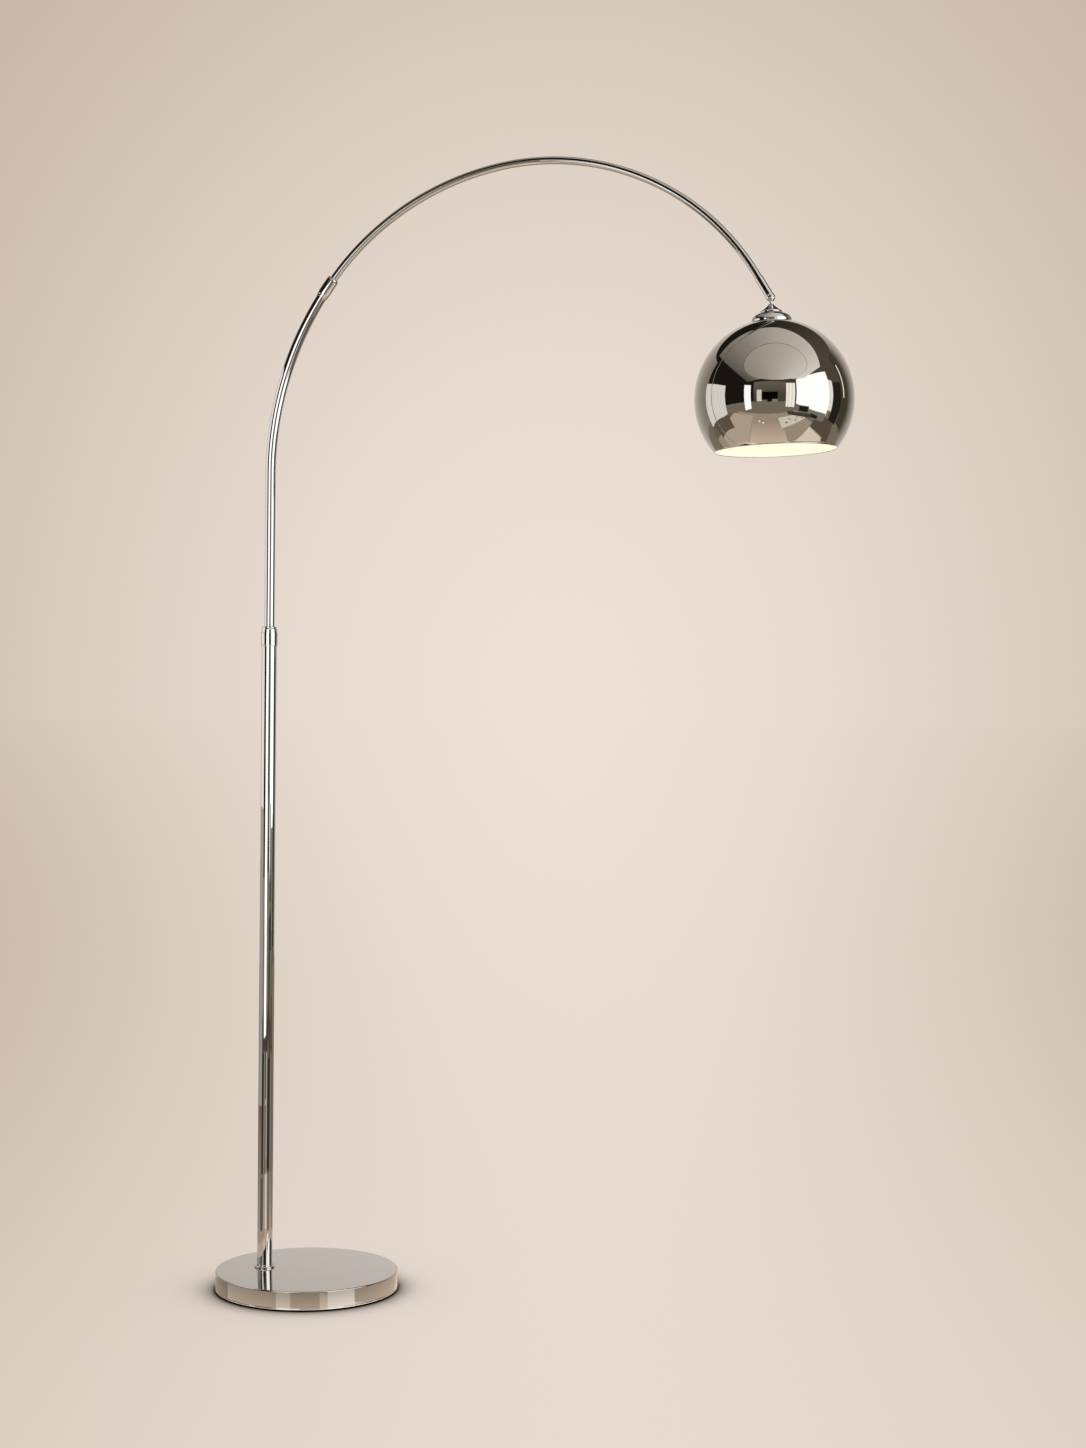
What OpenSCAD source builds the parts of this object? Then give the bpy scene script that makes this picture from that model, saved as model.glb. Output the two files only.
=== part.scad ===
// Arc floor lamp: round weighted base, straight pole, swivelling curved arm
// that slides out along its own curve, and a globe shade on a ball joint.
// Units are millimetres. The origin is the centre of the base's underside,
// +Z points up, and the arm leans from the pole towards +X in the XZ plane.

/* [Base] */
// Diameter of the base
base_d = 300; // [280:5:340]
// Height of the base, floor pad included
base_h = 32; // [30:1:40]
// Distance from the base's centre to the pole
pole_offset = 72.5; // [60:0.5:90]
// Thickness of the floor pad
pad_t = 2.4; // [1.5:0.1:3]
// Thickness of the base cover's sheet
cover_t = 1.2; // [0.8:0.1:1.5]

/* [Pole] */
// Outer diameter of the pole
pole_d = 25; // [25:0.5:27]
// Wall of the pole
pole_wall = 1.5; // [1:0.1:1.5]
// Height of the pole's top end
pole_top = 1086; // [900:2:1150]

/* [Arm] */
// Outer diameter of the lower arm tube
lower_d = 17; // [16.5:0.5:17]
// Outer diameter of the upper arm tube
upper_d = 12.5; // [12:0.25:12.5]
// Height at which the arm starts to bend
bend_z = 1349; // [1300:1:1400]
// Radius of the first bend, which the arm slides along
bend_1_r = 538; // [520:1:560]
// Radius of the second bend
bend_2_r = 454; // [440:1:470]
// Radius of the third bend
bend_3_r = 399; // [390:1:410]
// Angle of the first bend
bend_1_a = 37; // [37:0.5:38]
// Angle of the second bend
bend_2_a = 42; // [40:1:50]
// Angle of the third bend
bend_3_a = 69.5; // [60:0.5:72]
// Straight length from the last bend to the shade's ball
end_straight = 46; // [44:1:70]

/* [Shade] */
// Diameter of the globe shade
shade_d = 255; // [245:1:265]
// Thickness of the shade's sheet
shade_t = 1.2; // [1:0.1:1.5]
// Distance from the ball to the shade's centre
shade_drop = 161.6; // [161:0.1:163]
// Lean of the shade from upright
shade_lean = 2.4; // [0:0.1:4]

/* [Hidden] */

gap = 0.05;          // radial running clearance
seam = 0.1;          // gap between stacked pieces
$fn = 96;
arc_fn = 240;

// Base levels
base_r = base_d / 2;
plate_z = pad_t;
plate_t = 2;
weight_z = plate_z + plate_t + seam;
weight_top = base_h - cover_t - seam;
weight_r = base_r - cover_t - 0.4;
cover_edge_r = 2;
bead_r = 1.1;
pad_r = base_r - 6.5;
plate_r = base_r - cover_t - 1;
well_r = 16.5;
stud_r = 8;
stud_bore_r = 4.4;
web_t = 7;
well_top = weight_top - web_t;
washer_t = 1.6;
nut_t = 5;
stud_z = well_top - washer_t - nut_t - 1.5;
insert_h = 26;
screw_ring_r = 118;
screw_r = 2;
screw_count = 4;
channel_w = 17;
channel_h = 17.5;
block_x = -base_r + 34;
block = [18, 26, 13];
grommet_z = 14;

// Pole and swivel
pole_r = pole_d / 2;
pole_bore_r = pole_r - pole_wall;
pole_z = weight_top + cover_t + 2 * seam;
lower_r = lower_d / 2;
lower_wall = 1.2;
lower_bore_r = lower_r - lower_wall;
spigot_z = pole_top - 168;
bush_h = 40;
flange_t = 2;
flange_r = pole_r - 0.3;
thrust_t = 4;
thrust_r = 10.6;
ferrule_r = 13.7;
ferrule_z = pole_top - 22;
dome_z = pole_top + 1;
dome_h = 9.5;

// The arm's bends in order; the last entry, with no radius, is the straight end
bend_r = [bend_1_r, bend_2_r, bend_3_r, 0];
bend_a = [bend_1_a, bend_2_a, bend_3_a];
arm_turn = bend_1_a + bend_2_a + bend_3_a;

// Upper ferrule and the slide, as angles along the first bend
ferrule_from = 32.6;
ferrule_to = 36.5;
tube_end = 35.9;
slide_from = 32.9;
tail_from = 6;
glide_from = tail_from - 2.2;
upper_r = upper_d / 2;
upper_wall = 1;
upper_bore_r = upper_r - upper_wall;
barrel_r = 10.2;
barrel_side_r = 260;

// Ball joint, measured along the arm's end from the ball's centre
ball_r = 6.6;
socket_r = ball_r + 0.08;
sleeve_r = 7.1;
sleeve_len = 38;
lip_z = 1.5;
lip_r = 7.75;
tube_stop = -13;
seat_z = [-11, -3.6];
neck_r = 3.3;

// Shade stack, measured down from the ball's centre
shade_r = shade_d / 2;
mouth_drop = 0.632 * shade_r;
bell_z = [-10.2, -23.5];
bell_rim_r = 17.7;
bell_t = 1;
boss_r = 6.3;
boss_z = [-14.8, -22.1];
bell_screw_z = -18.8;
bell_screw_len = 7.6;
saucer_z = -22.2;
saucer_r = 32.4;
saucer_t = 1;
saucer_swell = 0.7;
shade_top = -shade_drop + shade_r;
spacer_r = 6.5;
spacer_z = saucer_z - saucer_t - 0.35;
nipple_r = 5;
nipple_bore_r = 3.4;
nipple_z = [-17, -52];
under_shade = shade_top - shade_t;
shade_washer_r = 12;
shade_washer_t = 1.2;
washer_z = under_shade - 0.62;
lock_z = washer_z - shade_washer_t - seam;
lock_t = 4;
holder_z = lock_z - lock_t - seam;
cap_h = 15;
shell_h = 34;
shell_z = holder_z - cap_h - seam;
insert_z = holder_z - 12.5;
bulb_z = insert_z - 14.5;
globe_r = 30;
globe_z = bulb_z - 76;
globe_cut = 22.9;
lead_r = 2;
lead_bend_r = 10;

// The frame of bend n, from 1: its centre is the origin, the arm lies in the
// XY plane, and the bend starts on -X and turns clockwise
module bend_frame(n)
    if (n == 1)
        translate([-pole_offset + bend_r[0], 0, bend_z]) rotate([90, 0, 0]) children();
    else
        bend_frame(n - 1)
            rotate([0, 0, -bend_a[n - 2]])
                translate([bend_r[n - 1] - bend_r[n - 2], 0, 0])
                    children();

// A tube or rod round bend n, from angle a0 to a1
module bend(n, a0, a1, outer, inner = 0)
    bend_frame(n)
        rotate([0, 0, 180 - a1])
            bend_sweep(bend_r[n - 1], a1 - a0, outer, inner);

// The same from the very start of the first bend, where it meets the straight
module bend_start(a1, outer, inner = 0)
    bend_frame(1)
        mirror([1, 0, 0])
            bend_sweep(bend_1_r, a1, outer, inner);

module bend_sweep(r, angle, outer, inner)
    rotate_extrude(angle = angle, $fn = arc_fn)
        translate([r, 0])
            ring_2d(outer, inner);

module ring_2d(outer, inner = 0)
    difference() {
        circle(outer, $fn = 64);
        if (inner > 0) circle(inner, $fn = 64);
    }

// A straight tube, standing on z
module tube(z, h, outer, inner)
    translate([0, 0, z])
        linear_extrude(h)
            ring_2d(outer, inner);

module at_pole() translate([-pole_offset, 0, 0]) children();

// A frame on the first bend at angle a, with +Z along the tube
module on_bend(a)
    bend_frame(1)
        rotate([0, 0, -a]) translate([-bend_1_r, 0, 0]) rotate([-90, 0, 0]) children();

// The end of the arm: +Z runs out along the tube, the origin is the ball
module at_arm_end()
    bend_frame(4) translate([0, end_straight, 0]) rotate([-90, 0, 0]) children();

// The shade's own frame: the origin is the ball, -Z hangs down the stem
module at_shade() at_arm_end() rotate([0, -arm_turn - shade_lean, 0]) children();

module hex_nut(z, h, flats, hole_r)
    translate([0, 0, z])
        linear_extrude(h)
            difference() {
                circle(flats / sqrt(3), $fn = 6);
                circle(hole_r, $fn = 64);
            }

module screw_places()
    for (i = [0:screw_count - 1])
        rotate([0, 0, 45 + i * 360 / screw_count])
            translate([screw_ring_r, 0, 0])
                children();

// ---- Base ----

module floor_pad()
    color("black")
        cylinder(h = pad_t - seam, r = pad_r, $fn = 180);

module base_plate()
    color("silver")
        difference() {
            translate([0, 0, plate_z]) cylinder(h = plate_t, r = plate_r, $fn = 180);
            screw_places()
                translate([0, 0, plate_z - 1])
                    cylinder(h = plate_t + 2, r = 2 * screw_r + 0.1);
        }

module base_plate_screws()
    color("gray")
        screw_places() {
            translate([0, 0, plate_z]) cylinder(h = plate_t, r1 = 2 * screw_r, r2 = screw_r);
            translate([0, 0, plate_z + plate_t]) cylinder(h = 9, r = screw_r);
        }

// Solid iron, hollowed underneath for the pole's nut, the lead and its block
module base_weight()
    color("dimgray")
        difference() {
            translate([0, 0, weight_z])
                cylinder(h = weight_top - weight_z, r = weight_r, $fn = 180);
            at_pole() {
                translate([0, 0, weight_z - 1])
                    cylinder(h = well_top - weight_z + 1, r = well_r);
                cylinder(h = base_h, r = stud_r + gap);
            }
            translate([-base_r, -channel_w / 2, weight_z - 1])
                cube([base_r - pole_offset, channel_w, channel_h + 1]);
            translate([block_x - block.x / 2 - 1, -block.y / 2 - 1, weight_z - 1])
                cube([block.x + 2, block.y + 2, channel_h + 1]);
            screw_places() cylinder(h = 16, r = screw_r + gap);
        }

module cover_outline(r, top, edge)
    polygon([
        [0, pad_t], [r, pad_t],
        for (i = [0:6]) [r - edge + edge * cos(15 * i), top - edge + edge * sin(15 * i)],
        [0, top]
    ]);

module base_cover()
    color("lightgray")
        difference() {
            rotate_extrude($fn = 180)
                union() {
                    difference() {
                        cover_outline(base_r, base_h, cover_edge_r);
                        translate([0, -1])
                            square([base_r - cover_t, base_h - cover_t + 1]);
                    }
                    translate([base_r - 0.5, pad_t + bead_r]) circle(bead_r, $fn = 32);
                }
            at_pole() cylinder(h = base_h + 1, r = stud_r + gap);
            translate([-base_r - 2, 0, grommet_z])
                rotate([0, 90, 0]) cylinder(h = 6, r = 5.6);
        }

// Rubber inlet ring for a supply cord
module cord_grommet()
    color("black")
        translate([-base_r - 1, 0, grommet_z])
            rotate([0, 90, 0])
                difference() {
                    union() {
                        cylinder(h = 0.9, r = 7.5);
                        cylinder(h = 4, r = 5.5);
                        translate([0, 0, 2.6]) cylinder(h = 1.4, r = 7);
                    }
                    translate([0, 0, -1]) cylinder(h = 6, r = 3.6);
                }

module terminal_block()
    color("ivory")
        difference() {
            translate([block_x - block.x / 2, -block.y / 2, weight_z])
                cube(block);
            for (side = [-1, 1])
                translate([block_x + side * 5, 0, weight_z + block.z - 4])
                    for (y = [-8, 0, 8])
                        translate([0, y, 0]) cylinder(h = 5, r = 1.8);
        }

module foot_stud()
    color("silver")
        at_pole() tube(stud_z, pole_z + insert_h - 2 - stud_z, stud_r, stud_bore_r);

module foot_nut()
    color("silver")
        at_pole() hex_nut(well_top - washer_t - nut_t - seam, nut_t, 24, stud_r + gap);

module foot_washer()
    color("silver")
        at_pole() tube(well_top - washer_t, washer_t, 14.5, stud_r + 0.3);

module foot_insert()
    color("silver")
        at_pole() tube(pole_z, insert_h, pole_bore_r - 0.02, stud_r + gap);

// Low ring round the pole's foot, with a hollow towards its raised rim
module foot_collar()
    color("lightgray")
        at_pole()
            translate([0, 0, base_h])
                rotate_extrude()
                    polygon([
                        [pole_r + gap, 0], [16.6, 0], [17, 0.5], [17, 2.2], [16.4, 2.8],
                        [15.6, 2.2], [14.2, 1.7], [13.3, 2.6], [pole_r + gap, 5]
                    ]);

// ---- Pole ----

module pole()
    color("lightgray")
        at_pole() tube(pole_z, pole_top - pole_z, pole_r, pole_bore_r);

module swivel_bush_lower()
    color("white")
        at_pole() tube(spigot_z + 2, bush_h, pole_bore_r - 0.02, lower_r + gap);

module swivel_bush_upper()
    color("white")
        at_pole() {
            tube(pole_top - bush_h, bush_h, pole_bore_r - 0.02, lower_r + gap);
            tube(pole_top + 0.02, flange_t, flange_r - 0.6, lower_r + gap);
            tube(pole_top - 1, 1.1, pole_bore_r - 0.02, lower_r + gap);
        }

module dome_outline(r, h, hole)
    polygon([
        [0, 0], for (i = [0:8]) [hole + (r - hole) * cos(i * 90 / 8), h * sin(i * 90 / 8)], [0, h]
    ]);

// Collar over the pole's top, with a dome that the arm tube turns in
module lower_ferrule()
    color("lightgray")
        at_pole()
            rotate_extrude()
                difference() {
                    union() {
                        translate([0, ferrule_z]) square([ferrule_r, dome_z - ferrule_z]);
                        translate([0, dome_z]) dome_outline(ferrule_r, dome_h, lower_r + 0.35);
                    }
                    translate([0, ferrule_z - 1])
                        square([pole_r + gap, dome_z - ferrule_z + 1]);
                    translate([0, dome_z - 0.01])
                        dome_outline(ferrule_r - 1.2, dome_h - 1.6, lower_r + 0.35);
                    square([lower_r + 0.35, 2 * pole_top]);
                }

// ---- Arm ----

// Ring on the tube that stands on the upper bush and carries the arm
module thrust_collar()
    color("silver")
        at_pole()
            tube(pole_top + flange_t + 0.35, thrust_t, thrust_r, lower_r + 0.02);

module lower_arm_tube()
    color("lightgray")
        union() {
            at_pole() tube(spigot_z, bend_z - spigot_z, lower_r, lower_bore_r);
            bend_start(tube_end, lower_r, lower_bore_r);
        }

barrel_h = bend_1_r * (ferrule_to - ferrule_from) * PI / 180;

// Barrel sleeve over the lower tube's end, closed in to the upper tube
module upper_ferrule()
    color("lightgray")
        difference() {
            on_bend((ferrule_from + ferrule_to) / 2)
                translate([0, 0, -barrel_h / 2])
                    rotate_extrude()
                        intersection() {
                            translate([barrel_r - barrel_side_r, 0.66 * barrel_h])
                                circle(barrel_side_r, $fn = 720);
                            polygon([
                                [0, 0], [20, 0], [20, barrel_h - 3], [barrel_r, barrel_h - 3],
                                for (i = [0:6])
                                    [barrel_r - 2.6 * (1 - cos(15 * i)) - 0.2, barrel_h - 2.6 * (1 - sin(15 * i))],
                                [0, barrel_h]
                            ]);
                        }
            bend(1, 25, tube_end + 0.02, lower_r + 0.02);
            bend(1, 30, bend_1_a, upper_r + 0.35);
        }

module slide_bush()
    color("white")
        bend(1, slide_from, tube_end - 0.05, lower_bore_r - 0.02, upper_r + gap);

// Collar on the hidden end of the upper tube that centres it in the lower tube
module tail_glide()
    color("white")
        bend(1, glide_from, tail_from - 0.02, lower_bore_r - gap, upper_bore_r);

// A round rod along the arm's whole curve, from angle a0 on the first bend
// to the height z on the straight end
module arm_rod(r, a0, z)
    union() {
        bend(1, a0, bend_1_a, r);
        bend(2, 0, bend_2_a, r);
        bend(3, 0, bend_3_a, r);
        at_arm_end()
            translate([0, 0, -end_straight])
                cylinder(h = end_straight + z, r = r, $fn = 64);
    }

module upper_arm_tube()
    color("lightgray")
        difference() {
            arm_rod(upper_r, tail_from, tube_stop);
            arm_rod(upper_bore_r, tail_from - 1, tube_stop + 1);
        }

// Socket sleeve on the arm's end, with a rolled lip that keeps the ball in
module end_sleeve()
    color("lightgray")
        at_arm_end()
            difference() {
                rotate_extrude()
                    difference() {
                        union() {
                            translate([0, -sleeve_len]) square([sleeve_r, sleeve_len + lip_z]);
                            translate([lip_r - 2.2, lip_z - 2.2]) circle(2.2, $fn = 48);
                        }
                        translate([0, -sleeve_len - 1])
                            square([upper_r + 0.02, sleeve_len + 1]);
                        translate([-10, lip_z]) square([20, 10]);
                    }
                sphere(socket_r);
            }

module disc_spring()
    color("silver")
        at_arm_end()
            rotate_extrude()
                polygon([[4.2, tube_stop + 0.7], [6, tube_stop + 0.1], [6, tube_stop + 0.7], [4.2, tube_stop + 1.3]]);

module ball_seat()
    color("white")
        at_arm_end()
            difference() {
                tube(seat_z[0], seat_z[1] - seat_z[0], upper_r - 0.05, 3.6);
                sphere(socket_r);
            }

// ---- Shade head ----

module swivel_ball()
    color("lightgray")
        at_shade()
            difference() {
                union() {
                    sphere(ball_r);
                    translate([0, 0, boss_z[0]]) cylinder(h = -boss_z[0] - 3, r = neck_r);
                    translate([0, 0, boss_z[1]]) cylinder(h = boss_z[0] - boss_z[1], r = boss_r);
                }
                translate([0, 0, boss_z[1] - 1]) cylinder(h = 40, r = 2.4);
                translate([0, 0, boss_z[1] - 1])
                    cylinder(h = nipple_z[0] - boss_z[1] + 1.1, r = nipple_r + gap);
            }

// Flared outline from the neck to a short upright rim
module bell_outline()
    polygon([
        [0, bell_z[1]], [bell_rim_r, bell_z[1]], [bell_rim_r, bell_z[1] + 1.9],
        [bell_rim_r - 1.1, bell_z[1] + 3.1], [neck_r + 2.4, bell_z[0] - 2.1],
        [neck_r + 0.8, bell_z[0]], [0, bell_z[0]]
    ]);

module bell_cap()
    color("lightgray")
        at_shade()
            difference() {
                rotate_extrude()
                    difference() {
                        bell_outline();
                        translate([-bell_t, -bell_t]) bell_outline();
                        square([2 * (neck_r + gap), 100], center = true);
                    }
                translate([0, -3, bell_screw_z]) rotate([90, 0, 0]) cylinder(h = 20, r = 1.6);
            }

module bell_screw()
    color("gray")
        at_shade()
            translate([0, -boss_r - 0.1, bell_screw_z])
                rotate([90, 0, 0])
                    difference() {
                        cylinder(h = bell_screw_len, r = 1.5);
                        translate([0, 0, bell_screw_len - 1.6]) cylinder(h = 2, r = 0.9, $fn = 6);
                    }

// Shallow dished cover whose rim lies on the globe
saucer_rim_z = -shade_drop + sqrt(pow(shade_r, 2) - pow(saucer_r, 2));

module saucer_outline(skin)
    polygon([
        [0, saucer_rim_z - skin],
        for (i = [0:10])
            let (a = i * 9, r = saucer_r - skin)
                [r * cos(a), saucer_rim_z + (saucer_z - skin - saucer_rim_z) * pow(sin(a), saucer_swell)]
    ]);

module shade_saucer()
    color("lightgray")
        at_shade()
            rotate_extrude()
                difference() {
                    saucer_outline(0);
                    saucer_outline(saucer_t);
                    translate([0, -100]) square([nipple_r + gap, 100]);
                    translate([0, -shade_drop]) circle(shade_r + seam, $fn = 360);
                }

module saucer_spacer()
    color("silver")
        at_shade()
            tube(shade_top + seam, spacer_z - shade_top - seam, spacer_r, nipple_r + gap);

module nipple()
    color("gold")
        at_shade() tube(nipple_z[1], nipple_z[0] - nipple_z[1], nipple_r, nipple_bore_r);

// Globe cut off level at its mouth, open below, with a small rolled rim
module shade()
    color("lightgray")
        at_shade()
            translate([0, 0, -shade_drop])
                rotate_extrude($fn = 180)
                    intersection() {
                        union() {
                            difference() {
                                circle(shade_r, $fn = 360);
                                circle(shade_r - shade_t, $fn = 360);
                                translate([-shade_d, -shade_d - mouth_drop])
                                    square([2 * shade_d, shade_d]);
                            }
                            translate([sqrt(pow(shade_r, 2) - pow(mouth_drop, 2)) - 1, -mouth_drop])
                                circle(1.2, $fn = 24);
                        }
                        translate([nipple_r + gap, -shade_d]) square([shade_d, 2 * shade_d]);
                    }

module shade_washer()
    color("silver")
        at_shade()
            tube(washer_z - shade_washer_t, shade_washer_t, shade_washer_r, nipple_r + gap);

module lock_nut()
    color("gold")
        at_shade() hex_nut(lock_z - lock_t, lock_t, 17, nipple_r + gap);

module holder_cap()
    color("black")
        at_shade()
            rotate_extrude()
                difference() {
                    translate([0, holder_z - cap_h]) dome_outline(19.5, cap_h, 10);
                    translate([0, holder_z - cap_h - 0.01]) dome_outline(17.5, cap_h - 2.4, 9);
                    translate([0, -200]) square([nipple_r + gap, 200]);
                }

// Ceramic block that carries the centre contact
module holder_insert()
    color("white")
        at_shade()
            difference() {
                tube(insert_z - 7, 7, 16.4, 2.6);
                for (side = [-1, 1])
                    translate([side * 9, 0, insert_z - 3]) cylinder(h = 4, r = 2);
            }

module holder_contact()
    color("gold")
        at_shade()
            translate([3, -2.5, insert_z - 8.95])
                rotate([0, -8, 0])
                    cube([9, 5, 0.6]);

module holder_shell()
    color("black")
        at_shade()
            union() {
                tube(shell_z - shell_h, shell_h, 19.5, 17.4);
                for (i = [0:3])
                    tube(shell_z - 6 - i * 7, 2, 20.2, 19.2);
            }

module bulb_contact()
    color("silver")
        at_shade() tube(bulb_z - 1.5, 1.5, 4, 0.6);

module bulb_insulator()
    color("black")
        at_shade()
            translate([0, 0, bulb_z - 4.6]) cylinder(h = 3, r1 = 11, r2 = 6);

module bulb_screw_cap()
    color("silver")
        at_shade()
            rotate_extrude()
                difference() {
                    union() {
                        translate([0, bulb_z - 27]) square([12.6, 22.3]);
                        for (i = [0:4])
                            translate([12.2, bulb_z - 9 - i * 3.6]) circle(1.2, $fn = 32);
                    }
                    translate([0, bulb_z - 28]) square([11.6, 22]);
                }

module bulb_collar()
    color("white")
        at_shade()
            rotate_extrude()
                difference() {
                    polygon([
                        [0, bulb_z - 24], [11.5, bulb_z - 24], [11.5, bulb_z - 27.1],
                        [14, bulb_z - 27.1], [15.5, bulb_z - 32], [20.4, bulb_z - 53], [0, bulb_z - 53]
                    ]);
                    polygon([[0, bulb_z - 30], [10, bulb_z - 30], [18.6, bulb_z - 54], [0, bulb_z - 54]]);
                }

module bulb_globe()
    color("white")
        at_shade()
            translate([0, 0, globe_z])
                rotate_extrude()
                    difference() {
                        circle(globe_r, $fn = 180);
                        circle(globe_r - 1.2, $fn = 180);
                        translate([-50, -50]) square([50, 100]);
                        translate([0, globe_cut]) square([50, 50]);
                    }

// ---- Internal lead, one stretch on each body ----

module lead_pole()
    color("white") {
        lead_z = stud_z - 3;
        block_face = block_x + block.x / 2;
        bend_x = -pole_offset - lead_bend_r;
        translate([block_face, 0, lead_z])
            rotate([0, 90, 0]) cylinder(h = bend_x - block_face, r = lead_r, $fn = 32);
        translate([bend_x, 0, lead_z + lead_bend_r])
            rotate([90, 0, 0]) rotate([0, 0, -90])
                rotate_extrude(angle = 90, $fn = 96) translate([lead_bend_r, 0]) circle(lead_r, $fn = 32);
        at_pole()
            translate([0, 0, lead_z + lead_bend_r])
                cylinder(h = spigot_z - 0.5 - lead_z - lead_bend_r, r = lead_r, $fn = 32);
    }

module lead_lower_arm()
    color("white") {
        at_pole() tube(spigot_z, bend_z - spigot_z, lead_r, 0);
        bend_start(glide_from - 0.1, lead_r);
    }

module lead_upper_arm()
    color("white")
        arm_rod(lead_r, glide_from, -ball_r - 0.6);

module lead_shade()
    color("white")
        at_shade()
            translate([0, 0, insert_z + 0.1])
                cylinder(h = -insert_z - ball_r + 3, r = lead_r, $fn = 32);

floor_pad();
base_plate();
base_plate_screws();
base_weight();
base_cover();
cord_grommet();
terminal_block();
foot_stud();
foot_nut();
foot_washer();
foot_insert();
foot_collar();
pole();
swivel_bush_lower();
swivel_bush_upper();
lower_ferrule();
lead_pole();
thrust_collar();
lower_arm_tube();
upper_ferrule();
slide_bush();
lead_lower_arm();
tail_glide();
upper_arm_tube();
end_sleeve();
disc_spring();
ball_seat();
lead_upper_arm();
swivel_ball();
bell_cap();
bell_screw();
shade_saucer();
saucer_spacer();
nipple();
shade();
shade_washer();
lock_nut();
holder_cap();
holder_insert();
holder_contact();
holder_shell();
bulb_contact();
bulb_insulator();
bulb_screw_cap();
bulb_collar();
bulb_globe();
lead_shade();
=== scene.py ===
import math

import bmesh
import bpy
from mathutils import Matrix, Vector


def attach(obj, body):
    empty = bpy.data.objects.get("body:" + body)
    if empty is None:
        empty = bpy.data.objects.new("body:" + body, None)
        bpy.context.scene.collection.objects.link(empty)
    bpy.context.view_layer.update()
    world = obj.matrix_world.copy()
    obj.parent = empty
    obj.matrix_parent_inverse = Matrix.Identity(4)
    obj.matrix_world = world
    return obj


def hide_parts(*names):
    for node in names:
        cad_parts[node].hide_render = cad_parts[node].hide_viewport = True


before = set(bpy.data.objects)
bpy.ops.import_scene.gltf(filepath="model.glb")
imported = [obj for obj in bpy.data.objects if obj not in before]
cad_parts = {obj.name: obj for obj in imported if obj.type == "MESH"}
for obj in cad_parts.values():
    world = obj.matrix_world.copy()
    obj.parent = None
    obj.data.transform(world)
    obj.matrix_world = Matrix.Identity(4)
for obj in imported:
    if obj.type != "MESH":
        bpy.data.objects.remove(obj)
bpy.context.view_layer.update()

MM = 0.001
scene = bpy.context.scene

# Camera, solved from the lamp's outline: degrees, then metres
CAMERA_YAW, CAMERA_PITCH, CAMERA_ROLL = -9.997, -0.697, 0.5176
CAMERA_PLACE = (1.04446, -3.71577, 0.98554)
LENS, SENSOR = 57.75, 36


# ---------------------------------------------------------------- camera

def make_camera():
    """A long-lens view from the front right, nearly level."""
    yaw, pitch, roll = (math.radians(angle) for angle in (CAMERA_YAW, CAMERA_PITCH, CAMERA_ROLL))
    ahead = Vector((math.sin(yaw) * math.cos(pitch), math.cos(yaw) * math.cos(pitch), math.sin(pitch)))
    level = Vector((math.cos(yaw), -math.sin(yaw), 0))
    upward = level.cross(ahead)
    right = math.cos(roll) * level + math.sin(roll) * upward
    up = -math.sin(roll) * level + math.cos(roll) * upward
    cam = bpy.data.objects.new("camera", bpy.data.cameras.new("camera"))
    turn = Matrix((right, up, -ahead)).transposed().to_4x4()
    cam.matrix_world = Matrix.Translation(CAMERA_PLACE) @ turn
    cam.data.sensor_width = SENSOR
    cam.data.lens = LENS
    cam.data.clip_end = 200
    scene.collection.objects.link(cam)
    scene.camera = cam


make_camera()


# ------------------------------------------------------------- materials

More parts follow.
